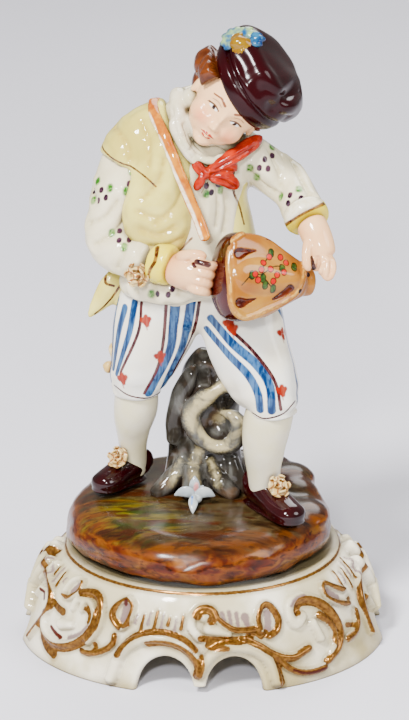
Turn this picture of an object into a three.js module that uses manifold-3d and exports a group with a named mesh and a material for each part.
// Porcelain statuette of a boy playing a lute-backed hurdy-gurdy, on a pierced scroll plinth.
// Millimetres, +Z up, the boy faces -Y. The origin is the middle of the plinth's underside.
// The figure, the tree stump behind it and the rocky mound are cast as one piece.
import * as THREE from "three";
import { mergeVertices } from "three/addons/utils/BufferGeometryUtils.js";
import Module from "manifold-3d";

const wasm = await Module();
wasm.setup();

// Driving sizes of the plinth
const RIM_HEIGHT = 30.4;
const RIM_RADIUS = 44.4;
const FOOT_HALF_WIDTH = 60.6;
const FOOT_HALF_DEPTH = 55.8;
const FOOT_SPREAD = 14.4; // how far the foot of the round blank stands out past its rim
const RIM_BEAD = 0.5; // height of the fine bead round the rim
const BEAD_INNER = 3; // from the rim's edge to the inner side of that bead
const KNEE_HEIGHT = 17; // where the hollow inside widens towards the foot
const KNEE_SPREAD = 6;
const WALL = 4;
const ARCH_WIDTH = 18.4;
const ARCH_HEIGHT = 11;
const ARCH_ANGLES = [-12.8, 10.8, 90];
const MID_FOOT_CLEARANCE = 2.6;
const RELIEF = 1.2;
const CUTTER_LENGTH = 26; // longer than the wall is deep, seen along an arch

// Driving sizes of the mound
const SEAT_GAP = 0.3;
const MOUND_RADIUS = 43.4;
const MOUND_FRONT_TOP = 45.6;
const MOUND_BACK_TOP = 49.2;
const MOUND_SHIFT = -1.4;

// Directions
const FRONT = [0, -1, 0];
const UP = [0, 0, 1];
const DEG = Math.PI / 180;

const vec = (p) => new THREE.Vector3(...p);

// A closed geometry as a solid that can be joined or cut; it is turned outside out where needed.
function solid(geometry) {
  const plain = geometry.clone();
  plain.deleteAttribute("normal");
  plain.deleteAttribute("uv");
  const merged = mergeVertices(plain, 1e-4);
  const corners = new Uint32Array(merged.index.array);
  const made = () =>
    new wasm.Manifold(
      new wasm.Mesh({
        numProp: 3,
        vertProperties: merged.attributes.position.array,
        triVerts: corners,
      }),
    );
  const first = made();
  if (first.volume() > 0) return first;
  for (let i = 0; i < corners.length; i += 3) {
    [corners[i + 1], corners[i + 2]] = [corners[i + 2], corners[i + 1]];
  }
  return made();
}

const join = (solids) => solids.flat(Infinity).reduce((whole, piece) => whole.add(piece));

// Width of a rounded end, as a share of the full width, at a share of the length.
function rounding(share, end) {
  const near = Math.min(share, 1 - share) / end;
  return near >= 1 ? 1 : Math.sqrt(Math.max(0, 1 - (1 - near) ** 2));
}

// A round-ended body along stations [x, y, z, half width, half depth].
// Half depth lies towards the front direction and half width across it.
// swell(share, angle) scales the section where the surface has folds.
function limb(stations, { sides = 10, rings = 8, front = FRONT, end = 0.16, swell } = {}) {
  const path = new THREE.CatmullRomCurve3(
    stations.map((s) => vec(s.slice(0, 3))), false, "catmullrom", 0.5,
  );
  const girth = new THREE.CatmullRomCurve3(
    stations.map((s) => new THREE.Vector3(s[3], s[4], 0)), false, "catmullrom", 0.5,
  );
  const shape = new THREE.SphereGeometry(1, sides, rings);
  const place = shape.attributes.position;
  const turn = shape.attributes.uv;
  const forward = vec(front);
  for (let i = 0; i < place.count; i++) {
    const row = Math.floor(i / (sides + 1));
    const share = 0.5 - 0.5 * Math.cos((Math.PI * row) / rings);
    const angle = Math.round(turn.getX(i) * sides) % sides * ((2 * Math.PI) / sides);
    const along = path.getTangent(share);
    const across = along.clone().cross(forward).normalize();
    const deep = across.clone().cross(along).normalize();
    const size = girth.getPoint(share);
    const pole = row === 0 || row === rings;
    const scale = pole ? 0 : rounding(share, end) * (swell ? swell(share, angle) : 1);
    const point = path
      .getPoint(share)
      .addScaledVector(across, Math.cos(angle) * size.x * scale)
      .addScaledVector(deep, Math.sin(angle) * size.y * scale);
    place.setXYZ(i, point.x, point.y, point.z);
  }
  return solid(shape);
}

// An ellipsoid with its half sizes along x, y and z, turned by degrees about x, then y, then z.
function ball(centre, halves, turned = [0, 0, 0], sides = 10, rings = 7) {
  const shape = new THREE.SphereGeometry(1, sides, rings);
  const place = new THREE.Matrix4().compose(
    vec(centre),
    new THREE.Quaternion().setFromEuler(
      new THREE.Euler(...turned.map((angle) => angle * DEG), "ZYX"),
    ),
    vec(halves),
  );
  shape.rotateX(Math.PI / 2);
  return solid(shape.applyMatrix4(place));
}

// Plinth

// How far the wall has flared from the rim (0) to the foot (1), by height in millimetres
const FLARE = new THREE.CatmullRomCurve3(
  [[1, 0, 0], [0.86, 5, 0], [0.72, 10.5, 0], [0.6, 16.5, 0], [0.44, 22.4, 0], [0.23, 27, 0],
    [0, RIM_HEIGHT, 0]].map(vec),
);

function flareAt(height) {
  const points = FLARE.getPoints(40);
  const upper = Math.max(1, points.findIndex((p) => p.y >= Math.min(height, RIM_HEIGHT) - 1e-6));
  const [a, b] = [points[upper - 1], points[upper]];
  return a.x + ((b.x - a.x) * (height - a.y)) / (b.y - a.y);
}

// A point on the wall: degrees from the front towards +X, height, and how far it stands out
function onWall(angle, height, lift = 0) {
  const flare = flareAt(height);
  const wide = RIM_RADIUS + (FOOT_HALF_WIDTH - RIM_RADIUS) * flare + lift;
  const deep = RIM_RADIUS + (FOOT_HALF_DEPTH - RIM_RADIUS) * flare + lift;
  return [wide * Math.sin(angle * DEG), -deep * Math.cos(angle * DEG), height];
}

// The relief of the front half, repeated on the back: each stroke is a curve of
// [degrees from the front, height] with its half width at the start and at the end.
const STROKES = [
  { at: [[-58, 22], [-50, 25.2], [-42.5, 24.6], [-38.8, 20], [-39.4, 14], [-46, 8.8],
    [-56, 5.8], [-65, 7.4], [-69.5, 13], [-76, 20.6]], from: 1.1, to: 1.3 },
  { at: [[-45.4, 20.4], [-43.6, 16], [-48, 11.4], [-57, 9.6]], from: 1.1, to: 1 },
  { at: [[-29, 11.4], [-25.4, 15.8], [-18.8, 18.8], [-11.6, 18.8], [-5.4, 16.2], [-2, 11.4],
    [-0.6, 6.4]], from: 1.3, to: 1.8 },
  { at: [[-1.2, 24.2], [-2.2, 20.4], [1.8, 17.6], [8.6, 16.4], [15.5, 15.4], [22, 12.4],
    [29, 9], [34, 8.4], [37.2, 10.6]], from: 1.2, to: 1.5 },
  { at: [[22.6, 16.4], [20, 20.2], [21.6, 24.6], [25.6, 25], [28, 21.4], [26, 17.6]],
    from: 1.1, to: 1 },
  { at: [[21.8, 12.4], [24.6, 7], [30, 4.6], [42, 3.2]], from: 1.1, to: 1.5 },
  { at: [[36.4, 22.6], [40, 25], [45.6, 23.8], [51, 19.2], [53.6, 13.4], [51, 7.6],
    [44, 4.2]], from: 1.5, to: 1.2 },
  { at: [[80, 24], [76.4, 17.4], [74.8, 10.6], [73.4, 4.4]], from: 1.5, to: 1.1 },
];

function stroke({ at, from, to }, spin) {
  const flat = new THREE.CatmullRomCurve3(at.map(([a, h]) => new THREE.Vector3(a, h, 0)));
  const steps = Math.max(3, Math.ceil(at.length * 0.65));
  const stations = Array.from({ length: steps + 1 }, (_, i) => {
    const share = i / steps;
    const p = flat.getPoint(share);
    return [...onWall(p.x + spin, p.y), from + (to - from) * share, RELIEF];
  });
  const middle = onWall(flat.getPoint(0.5).x + spin, 0);
  return limb(stations, { sides: 4, rings: steps, front: middle, end: 0.06 });
}

function tunnel(angle) {
  const cutter = new THREE.CylinderGeometry(1, 1, CUTTER_LENGTH, 14);
  cutter.scale(ARCH_WIDTH / 2, 1, ARCH_HEIGHT);
  cutter.translate(0, -FOOT_HALF_DEPTH, 0);
  return solid(cutter.rotateZ(angle * DEG));
}

// The short foot between two front arches ends above the ground.
function footCut(turn) {
  const [left, right] = ARCH_ANGLES;
  const cutter = new THREE.BoxGeometry(ARCH_WIDTH, CUTTER_LENGTH, 2 * MID_FOOT_CLEARANCE);
  cutter.translate(0, -FOOT_HALF_DEPTH, 0);
  return solid(cutter.rotateZ(((left + right) / 2 + turn) * DEG));
}

function plinth() {
  const outer = FLARE.getPoints(4).map((p) => [RIM_RADIUS + FOOT_SPREAD * p.x, p.y]);
  const inner = [
    [RIM_RADIUS - BEAD_INNER / 2, RIM_HEIGHT + RIM_BEAD],
    [RIM_RADIUS - BEAD_INNER, RIM_HEIGHT],
    [0, RIM_HEIGHT],
    [0, RIM_HEIGHT - WALL],
    [RIM_RADIUS - WALL, RIM_HEIGHT - WALL],
    [RIM_RADIUS + KNEE_SPREAD - WALL, KNEE_HEIGHT],
    [RIM_RADIUS + FOOT_SPREAD - WALL, 0],
    outer[0],
  ];
  const turned = new THREE.LatheGeometry(
    [...outer, ...inner].map(([x, y]) => new THREE.Vector2(x, y)), 34,
  ).rotateX(Math.PI / 2);
  const place = turned.attributes.position;
  for (let i = 0; i < place.count; i++) {
    const flare = Math.max(0, flareAt(place.getZ(i)));
    const round = RIM_RADIUS + FOOT_SPREAD * flare;
    const wide = RIM_RADIUS + (FOOT_HALF_WIDTH - RIM_RADIUS) * flare;
    const deep = RIM_RADIUS + (FOOT_HALF_DEPTH - RIM_RADIUS) * flare;
    place.setX(i, (place.getX(i) * wide) / round);
    place.setY(i, (place.getY(i) * deep) / round);
  }
  const relief = [0, 180].map((spin) => [
    STROKES.map((s) => stroke(s, spin)),
    ball(onWall(3.2 + spin, 23.6, 0.2), [3.2, 2.6, 2.9], [0, 0, spin], 7, 4),
    ball(onWall(-28.6 + spin, 22.6, -0.2), [1.7, 1.6, 3.4], [0, 0, spin - 28], 6, 4),
    ball(onWall(24 + spin, 21, -0.4), [1.9, 1.4, 3], [0, 0, spin + 24], 6, 4),
    ball(onWall(90 + spin, 19.4, 1), [5, 3.4, 5.4], [0, 0, 90 + spin], 7, 4),
  ]);
  let body = join([solid(turned), relief]);
  for (const turn of [0, 180]) {
    for (const angle of ARCH_ANGLES) body = body.subtract(tunnel(angle + turn));
    body = body.subtract(footCut(turn));
  }
  return body;
}

// Mound

// Height of the top of the mound: it climbs gently to the back.
function moundTop(y) {
  const share = (y + MOUND_RADIUS) / (2 * MOUND_RADIUS);
  return MOUND_FRONT_TOP + (MOUND_BACK_TOP - MOUND_FRONT_TOP) * share;
}

function mound() {
  const base = RIM_HEIGHT + RIM_BEAD + SEAT_GAP;
  // [share of the radius, share of the height]
  const profile = [
    [0, 0], [0.95, 0], [0.995, 0.24], [0.995, 0.56], [0.94, 0.86], [0.84, 0.98], [0, 1],
  ].map(([x, y]) => new THREE.Vector2(x * MOUND_RADIUS, y));
  const shape = new THREE.LatheGeometry(profile, 27).rotateX(Math.PI / 2);
  const place = shape.attributes.position;
  for (let i = 0; i < place.count; i++) {
    const [x, y, high] = [place.getX(i), place.getY(i), place.getZ(i)];
    const angle = Math.atan2(y, x);
    const free = Math.min(1, high * 3) * (Math.hypot(x, y) / MOUND_RADIUS);
    const rough = Math.sin(3 * angle + 0.6) + 0.6 * Math.sin(8 * angle + high * 5);
    const scale = 1 - (0.01 + 0.012 * rough) * free;
    const top = moundTop(y) + (free > 0.6 ? 0.4 * rough * free : 0);
    place.setXYZ(i, x * scale + MOUND_SHIFT, y * scale, base + (top - base) * high);
  }
  const rocks = [
    ball([29.4, 16.4, 46.6], [8.6, 9, 5.4], [0, 0, -30], 7, 4),
    ball([34, -6, 42.8], [7, 9, 4.6], [0, 0, 10], 6, 4),
  ];
  return join([solid(shape), rocks]);
}

// Tree stump, with its branch, its knot loop and its roots

function stump() {
  return [
    limb([[0.5, 6, 45, 15, 9], [0.4, 8, 56, 12.6, 7.4], [0.6, 8.4, 66, 12, 7.2],
      [2, 8.6, 76, 10.6, 7], [1.4, 9, 85, 9, 6.6], [-0.6, 8.8, 94.4, 4.8, 5]],
    { sides: 10, rings: 6 }),
    limb([[-5, 3, 68, 3.4, 3.2], [2, 2, 76.4, 3, 2.8], [13, -2, 88, 3.8, 3.4]],
      { sides: 5, rings: 4 }),
    limb([[2, 3, 75.6, 2.6, 2.4], [9, 1, 75, 2.8, 2.6], [12.8, 0.2, 69.6, 2.9, 2.6],
      [9.4, -0.6, 63.6, 2.8, 2.8], [2.6, 0.8, 62.4, 3, 3], [-2.4, 2.6, 66, 3, 3]],
    { sides: 5, rings: 7 }),
    limb([[-6, 4, 56, 4, 3.6], [-15.4, -1.4, 46.6, 2.6, 2.4]], { sides: 5, rings: 4 }),
    limb([[0, 1, 57, 3.6, 3.2], [9.8, -3, 47, 2.8, 2.6]], { sides: 5, rings: 4 }),
    limb([[-3, 0, 56, 4, 4], [-3.4, -4.6, 47, 3.8, 3]], { sides: 5, rings: 4 }),
  ];
}

// The small applied lily at the foot of the stump, with four petals round its heart
function lily() {
  const heart = [-2, -8.4, 47];
  const petals = [
    [[0.3, 2.6, 4], [1.9, 1.7, 4.6], [-24, 0, 0]],
    [[-5, -0.4, 0], [3.6, 1.9, 1], [0, -12, 14]],
    [[5, -0.4, 0], [3.6, 1.9, 1], [0, 12, -14]],
    [[0.6, -4.8, -0.4], [1.2, 3.4, 0.9], [0, 0, 4]],
  ];
  return petals.map(([off, halves, turned]) =>
    ball(heart.map((v, i) => v + off[i]), halves, turned, 4, 4));
}

// Legs: breeches gathered at the knee, stockings and shoes with rosettes

const BREECHES_RIGHT = [
  [-9, 2, 123, 12, 10.6], [-12, 1, 114, 14, 12.4], [-15.6, 0.4, 103, 13.2, 12],
  [-18.6, 0.2, 93.6, 11.2, 11], [-20.9, 0, 86, 9, 9.4], [-21.2, 0, 82, 7.8, 8.2],
];
const STOCKING_RIGHT = [
  [-21.2, 0, 86, 7.4, 7.6], [-21.8, 1.6, 76, 7.2, 7.4], [-22.7, 4.4, 68.4, 5.7, 6.2],
  [-22.9, 7, 61.4, 4.7, 5.2], [-23, 9, 55, 4.7, 5.2], [-23, 9.6, 50, 4.6, 5],
];
const BREECHES_LEFT = [
  [8, 1, 122, 11.6, 10.6], [11, -2, 113, 13.4, 12.6], [14.8, -7, 101, 13.2, 12.4],
  [18.9, -11, 91.4, 11.6, 11.2], [22, -13.6, 84, 9.2, 9.4], [22.8, -14, 80, 7.6, 8],
];
const STOCKING_LEFT = [
  [22.6, -13.6, 84, 7.4, 7.8], [20.6, -13.2, 75.6, 7.9, 8], [19.8, -12.4, 68, 7, 7.2],
  [19.6, -11, 61, 5.8, 6.3], [20, -9.6, 54, 5.2, 6], [20.2, -9, 50, 5, 5.6],
];
const SHOE_RIGHT = [
  [-20.4, 14, 54, 3.8, 5.4], [-22.6, 9.6, 54.2, 4.8, 6], [-27.2, 4.6, 52.6, 5, 4.4],
  [-31.4, -0.4, 51.4, 4.9, 3.7], [-34.6, -4, 50.8, 3.9, 3.1],
];
const SHOE_LEFT = [
  [16, -1.6, 52, 4.2, 5.8], [18.6, -7.4, 52, 5.2, 6], [23, -15, 50.4, 5.5, 4.6],
  [27, -21.6, 49, 5.6, 3.9], [30.6, -27.2, 48.6, 4.4, 3.1],
];

// A low rosette with petals round its edge, facing the given direction
function rosette(centre, facing, radius, petals = 5) {
  const out = vec(facing).normalize();
  const at = (lift) => vec(centre).addScaledVector(out, lift).toArray();
  const lobes = (share, angle) => 1 + 0.16 * Math.cos(petals * angle);
  return limb(
    [[...at(-1.6), radius * 0.8, radius * 0.8], [...at(0), radius, radius],
      [...at(1.4), radius * 0.7, radius * 0.7]],
    { sides: 2 * petals, rings: 4, front: UP, end: 0.3, swell: lobes },
  );
}

function legs() {
  return [
    limb(BREECHES_RIGHT, { sides: 10, rings: 6, end: 0.05 }),
    limb(STOCKING_RIGHT, { sides: 8, rings: 5, end: 0.06 }),
    limb(BREECHES_LEFT, { sides: 10, rings: 6, end: 0.05 }),
    limb(STOCKING_LEFT, { sides: 8, rings: 5, end: 0.06 }),
    limb(SHOE_RIGHT, { sides: 8, rings: 6, front: UP, end: 0.14 }),
    limb(SHOE_LEFT, { sides: 8, rings: 6, front: UP, end: 0.14 }),
    rosette([-27.8, 1.6, 58.8], [-0.5, -0.7, 0.6], 4.4),
    rosette([24.6, -18, 56], [0.4, -0.75, 0.6], 4.6),
    ball([-28.6, 1, 94.4], [1.8, 2.6, 4.2], [0, 12, 0], 5, 4),
  ];
}

// Body, coat and shirt

const TORSO = [
  [-2, 1, 106, 17, 10], [-3, 0, 116, 20, 13], [-4, -1, 125, 18.2, 13],
  [-4, -0.6, 135, 17, 12.4], [-2.8, 0.4, 147, 16, 12.4], [-1, 1, 157.6, 16.4, 12.6],
  [0.4, 2.6, 166, 16, 11.2], [1.6, 3, 173, 10, 8], [4, 2, 179, 6, 6.4],
];

function torso() {
  return [
    limb(TORSO, { sides: 12, rings: 8, end: 0.06 }),
    // shirt hem that bulges over the breeches
    limb([[-26, -2, 121, 3, 4.6], [-20, -9.6, 120.6, 3.4, 4.6], [-9.6, -13, 120.6, 3.6, 4.4],
      [2, -13.4, 122.4, 3.4, 4.2], [13, -11, 124, 3, 4]],
    { sides: 5, rings: 5, front: UP }),
    // front of the coat on the boy's right, with its loose pointed end
    limb([[-8, -4.6, 170, 8, 5.4], [-11.4, -7.4, 160, 10, 6.4], [-13, -8.6, 150, 10.8, 6.8],
      [-14, -9.4, 142, 11.6, 7], [-12, -10.6, 135.4, 8.6, 5.8], [-10.4, -10.8, 131.4, 3.8, 3.4]],
    { sides: 8, rings: 7, end: 0.1 }),
    // coat on the boy's left side
    limb([[12, 1.6, 161, 6, 8], [8.6, 2, 150, 5.6, 9.4], [9.2, 2, 138, 7, 10.6],
      [11, 1.4, 127, 8, 11]], { sides: 7, rings: 5 }),
    // skirt of the coat round the back, and its pointed flap on the boy's right
    limb([[-3, 1.4, 131, 17, 11], [-3, 3.4, 122, 21.4, 13.4], [-3, 4.6, 113, 24, 15],
      [-3, 4.8, 107.4, 24.6, 15.2]], { sides: 10, rings: 4, end: 0.06 }),
    limb([[-37, 1, 106.6, 0.8, 0.8], [-33.6, 1.6, 111, 1.8, 3], [-29, 3.4, 116, 2.2, 5.4],
      [-23.6, 6, 120, 2.4, 6]],
    { sides: 5, rings: 5, front: UP, end: 0.06 }),
  ];
}

function strap() {
  const chest = [
    [-15.2, 4, 178.6], [-15.2, -4, 176], [-12.4, -10, 171.4], [-9.6, -13, 165.4],
    [-6.8, -14.6, 158.2], [-3.6, -15.4, 150.4], [-0.8, -16.4, 143.8], [1.2, -19.6, 138.8],
  ];
  const back = [
    [-15.2, 4, 178.6], [-11, 12, 170], [-3, 13.4, 157], [6, 12.6, 144], [13, 11, 131],
  ];
  return [chest, back].map((points) =>
    limb(points.map((p) => [...p, 1.8, 0.9]), { sides: 4, rings: 6, end: 0.03 }));
}

function arms() {
  return [
    // boy's right arm: shoulder, elbow, cuff with its rosette
    limb([[-14, 3, 167, 8.4, 9], [-21.4, 2.6, 161, 9, 9.6], [-25.4, 0.8, 151, 9.2, 9.4],
      [-28.6, -1.6, 140, 8.8, 9], [-28.2, -5, 133.4, 8, 8], [-21.6, -10.6, 131.4, 6.8, 7],
      [-16, -14, 131, 6, 6]], { sides: 8, rings: 9, end: 0.05 }),
    limb([[-17, -13.6, 131, 6.4, 6.3], [-13.6, -15.6, 130.4, 6.2, 6.2],
      [-11, -17, 130, 5.4, 5.5]], { sides: 8, rings: 4, end: 0.2 }),
    rosette([-21, -17, 126.8], [-0.25, -0.95, 0.1], 4.8),
    // cape of the coat over the right shoulder
    limb([[-8, 3, 171, 9.6, 10], [-15.4, 3, 167.8, 9.8, 10.8], [-22, 2.2, 161.4, 10, 10.8],
      [-24, 1.6, 157.6, 9.8, 10.4]], { sides: 8, rings: 5, end: 0.1 }),
    // boy's left arm
    limb([[9, 3, 163, 7.8, 9], [16, 3, 159, 7.6, 8.6], [23.4, 3, 153.6, 7.2, 8],
      [28.8, 0, 149.4, 7, 7.6], [31.2, -6, 146.6, 6.8, 7.2], [32.2, -10.4, 145, 6.9, 7.2]],
    { sides: 8, rings: 8, end: 0.05 }),
    limb([[32.2, -9.6, 145.6, 7.6, 7.4], [33, -13, 143.6, 7.7, 7.4], [33.5, -14.8, 142.6, 7, 6.8]],
      { sides: 8, rings: 4, end: 0.2 }),
  ];
}

// Hands

// A finger: three joints with a half width at the root and at the tip
function finger(joints, root = 1.6, tip = 1.2) {
  const last = joints.length - 1;
  return limb(
    joints.map((p, i) => {
      const half = root + ((tip - root) * i) / last;
      return [...p, half, half];
    }),
    { sides: 5, rings: 3, end: 0.3 },
  );
}

function hands() {
  const fist = [
    limb([[-11, -16.6, 129.8, 4.4, 5], [-6, -18.6, 129.2, 6, 6.2], [-1, -20, 128.6, 6.4, 6.6],
      [2.6, -20.6, 128.4, 4.6, 5.4]], { sides: 7, rings: 5 }),
    ...[0, 1, 2, 3].map((i) =>
      finger([
        [2.2 - i * 1.2, -21.8 - i * 0.2, 131.8 - i * 2.5],
        [3.6 - i * 1.4, -25.2 - i * 0.1, 129.4 - i * 2.4],
        [0.8 - i * 1.5, -26, 127.2 - i * 2],
      ], 1.9, 1.6)),
    finger([[-6, -22.4, 132.8], [-2, -25, 132.8], [1.6, -25.8, 131.8]], 1.9, 1.6),
  ];
  const playing = [
    limb([[34.6, -13, 142.4, 4.8, 4.4], [36, -16, 138.6, 5.6, 4.2],
      [37.4, -18.4, 134.8, 5.2, 3.8], [38, -19.4, 131.6, 4.2, 3.2]],
    { sides: 7, rings: 5 }),
    finger([[32.6, -17.6, 139.2], [31.4, -21, 135.8], [32, -22.4, 130.4]], 1.7, 1.3),
    ...[0, 1, 2].map((i) =>
      finger([
        [35.8 + i * 1.7, -19.4, 135 - i * 0.8],
        [37 + i * 1.5, -22.4, 131.6 - i * 0.8],
        [35.2 + i * 1.9, -22.8, 129.2 - i * 0.4],
      ], 1.7, 1.5)),
  ];
  return [fist, playing];
}

// Instrument: rounded back, pear-shaped front, peg box and crank.
// Its own axes: along from tail to peg box, up the front, and off the front.

const LUTE = (() => {
  const long = vec([0.86, 0.46, -0.2]).normalize();
  const out = vec([0.42, -0.84, 0.3]);
  out.addScaledVector(long, -out.dot(long)).normalize();
  const rise = out.clone().cross(long).normalize();
  return { origin: vec([7.4, -31.4, 131.4]), long, out, rise };
})();

function onLute(along, up, off = 0) {
  return LUTE.origin
    .clone()
    .addScaledVector(LUTE.long, along)
    .addScaledVector(LUTE.rise, up)
    .addScaledVector(LUTE.out, off)
    .toArray();
}

function lute() {
  const halves = [[0, 10], [4, 13.4], [9, 14], [15, 12.6], [21, 9.2], [26, 6.4], [29, 5]];
  const front = LUTE.out.toArray();
  const back = limb(
    halves.map(([along, half]) => [...onLute(along, 0, -6.4 + along * 0.08), half, 9.4]),
    { sides: 12, rings: 6, front, end: 0.14 },
  );
  const belly = limb(
    halves.map(([along, half]) => [...onLute(along + 0.4, 0, -0.6), half * 0.97, 2.6]),
    { sides: 12, rings: 5, front, end: 0.1 },
  );
  const cover = limb(
    [[1, 4], [10, 6], [20, 4.6], [27, 3.4]].map(([along, half]) =>
      [...onLute(along, 0, 1), half, 2.4]),
    { sides: 6, rings: 3, front, end: 0.2 },
  );
  const pegBox = limb(
    [[24, 5.4], [29, 4.4], [34, 3.8]].map(([along, half]) =>
      [...onLute(along, -0.4, -2), half, 3.2]),
    { sides: 6, rings: 3, front, end: 0.2 },
  );
  const crank = limb([[7, -22.4, 132.2, 1.6, 1.6], [-3.6, -25.8, 133.4, 1.6, 1.6]],
    { sides: 5, rings: 3 });
  return [back, belly, cover, pegBox, crank];
}

// Head, tilted to the boy's left and bowed

const HEAD = (() => {
  const turn = new THREE.Matrix4()
    .makeRotationY(40 * DEG)
    .multiply(new THREE.Matrix4().makeRotationX(25 * DEG));
  return { centre: vec([7.2, -5.4, 182]), turn };
})();

// The cap sits further over than the head and is not bowed with it.
const CAP = {
  centre: vec([13.2, -2.4, 184]),
  turn: new THREE.Matrix4().makeRotationY(57 * DEG).multiply(
    new THREE.Matrix4().makeRotationX(11 * DEG)),
};

// An ellipsoid in its own axes of a frame: right to left, back to front, and up
function framedBall(frame, [side, ahead, up], halves, sides = 8, rings = 5) {
  const shape = new THREE.SphereGeometry(1, sides, rings).rotateX(Math.PI / 2);
  shape.scale(...halves).translate(side, -ahead, up).applyMatrix4(frame.turn);
  return solid(shape.translate(...frame.centre.toArray()));
}

const onFrame = (frame, [side, ahead, up]) =>
  new THREE.Vector3(side, -ahead, up).applyMatrix4(frame.turn).add(frame.centre).toArray();

function head() {
  return [
    framedBall(HEAD, [0, 0, 2], [10.4, 11.4, 11.6], 12, 8),
    framedBall(HEAD, [0, 3.4, -5.4], [8.2, 7.6, 7.4], 8, 6),
    framedBall(HEAD, [0, 11, -1.6], [1.4, 2.3, 3], 4, 4),
    framedBall(HEAD, [10, -0.6, -2], [1.6, 2, 3], 5, 4),
    limb([[2, 3, 168, 6.6, 6.6], [4, 1, 174, 5.6, 5.8], [6.4, -2, 179, 5.8, 6]],
      { sides: 7, rings: 3 }),
    // hair at the right temple and down the neck
    framedBall(HEAD, [-9.6, 3, 7.6], [4.6, 6, 6], 7, 5),
    framedBall(HEAD, [0, -6.4, -3], [9, 6.4, 7], 8, 4),
  ];
}

// Soft cap with a broad band and a cockade over the brow
function cap() {
  const crown = [
    [0, 14.6, 12.8], [2.4, 15.6, 14], [6, 16.6, 15], [10, 16, 14.6], [13.4, 13, 12],
    [16, 8, 8],
  ];
  const upright = ([up, wide, deep]) => [...onFrame(CAP, [0.6, -1, up]), wide, deep];
  return [
    limb([[-3, 14.4, 12.6], [0, 15.4, 13.6], [3, 15, 13.2]].map(upright),
      { sides: 12, rings: 4, end: 0.12 }),
    limb(crown.map(upright), { sides: 12, rings: 6, end: 0.1 }),
    limb([[...onFrame(CAP, [-17, 6, 1]), 2.8, 2], [...onFrame(CAP, [-17, 8, 6]), 5, 2.8],
      [...onFrame(CAP, [-15.6, 7.6, 11.6]), 4.6, 2.8], [...onFrame(CAP, [-12.4, 4, 15.4]), 2.4, 2]],
    { sides: 6, rings: 4 }),
  ];
}

// Ruffled collar and knotted scarf
function neckwear() {
  const ruffle = Array.from({ length: 10 }, (_, i) => {
    const angle = (-150 + (i * 300) / 9) * DEG;
    return [1.6 + Math.sin(angle) * 11, 1 - Math.cos(angle) * 10,
      170.4 - Math.sin(angle) * 5.2 + 0.9 * Math.sin(i * 2.2), 2.8, 3];
  });
  return [
    limb(ruffle, { sides: 5, rings: 9, front: UP, end: 0.06 }),
    limb([[15.6, -3.6, 166.6, 2.2, 2.4], [9.6, -9.4, 163.4, 2.4, 2.4], [3, -11.8, 159.6, 1.8, 2]],
      { sides: 4, rings: 3, front: UP }),
    ball([1, -12.6, 159], [2, 2.2, 1.9], [0, 0, 0], 5, 4),
    limb([[1, -12.4, 159.2, 1.4, 1.6], [6, -12.2, 159.4, 3.2, 2], [9.6, -11, 158.4, 2.8, 1.8],
      [11.4, -10, 155.2, 2, 1.4]], { sides: 5, rings: 4 }),
    limb([[0.6, -12.4, 158.6, 1.4, 1.4], [-2, -12.4, 161, 1.7, 1.4]], { sides: 5, rings: 3 }),
    limb([[0.6, -12.8, 158.6, 1.2, 1.4], [-1.6, -13.4, 155.8, 1.5, 1.3]], { sides: 5, rings: 3 }),
  ];
}

function figure() {
  return join([
    mound(), stump(), lily(), legs(), torso(), strap(), arms(), hands(), lute(), head(),
    cap(), neckwear(),
  ]);
}

// A solid back as a three.js geometry
function geometryOf(made) {
  const mesh = made.getMesh();
  const geometry = new THREE.BufferGeometry();
  geometry.setAttribute("position", new THREE.BufferAttribute(mesh.vertProperties, 3));
  geometry.setIndex(new THREE.BufferAttribute(mesh.triVerts, 1));
  geometry.computeVertexNormals();
  return geometry;
}

function node(name, made, colour) {
  const material = new THREE.MeshStandardMaterial({ color: colour, roughness: 0.12, metalness: 0 });
  const mesh = new THREE.Mesh(geometryOf(made), material);
  mesh.name = name;
  return mesh;
}

const statuette = new THREE.Group();
statuette.add(node("plinth", plinth(), 0xf1efe6), node("figure", figure(), 0xece6d6));

export default statuette;
